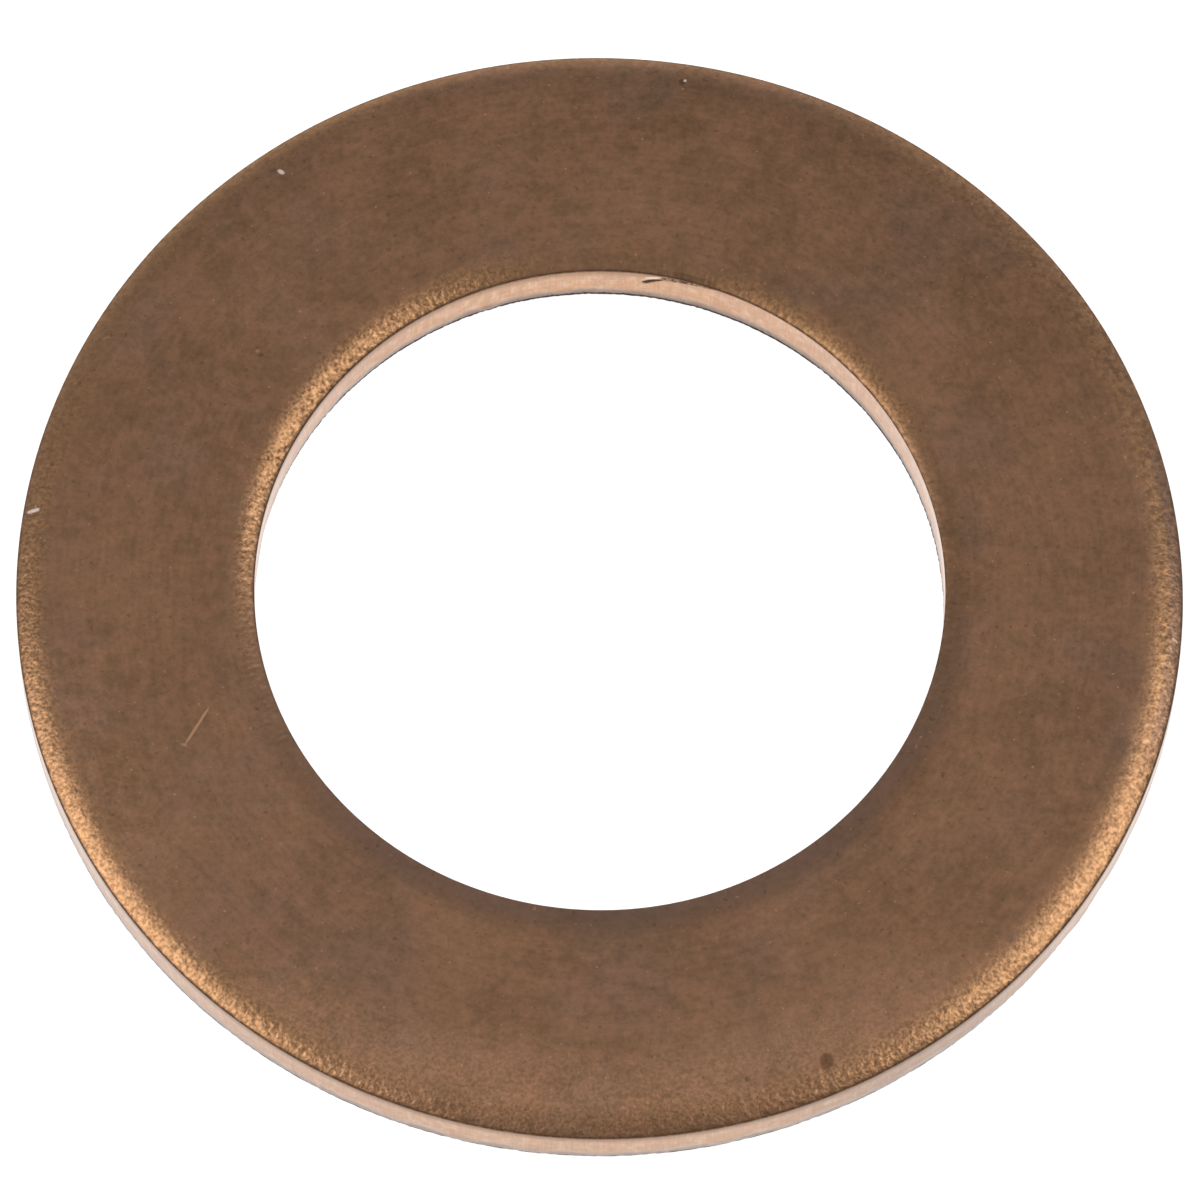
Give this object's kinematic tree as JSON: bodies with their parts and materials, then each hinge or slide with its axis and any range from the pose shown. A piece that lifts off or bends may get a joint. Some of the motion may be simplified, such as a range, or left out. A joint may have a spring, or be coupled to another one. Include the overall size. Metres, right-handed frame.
{
  "type": "crush washer",
  "caption": "Flat copper sealing ring with rolled-over edges, made to crush between a bolt or drain plug and its seat.",
  "frame": {"origin": "middle of the ring on its bottom face", "axes": "+Z along the ring's axis, towards the face with the rolled-over edges"},
  "size_m": [0.024, 0.024, 0.0015],
  "materials": {
    "copper": null
  },
  "bodies": {
    "root": {"washer": "copper"}
  },
  "joints": []
}
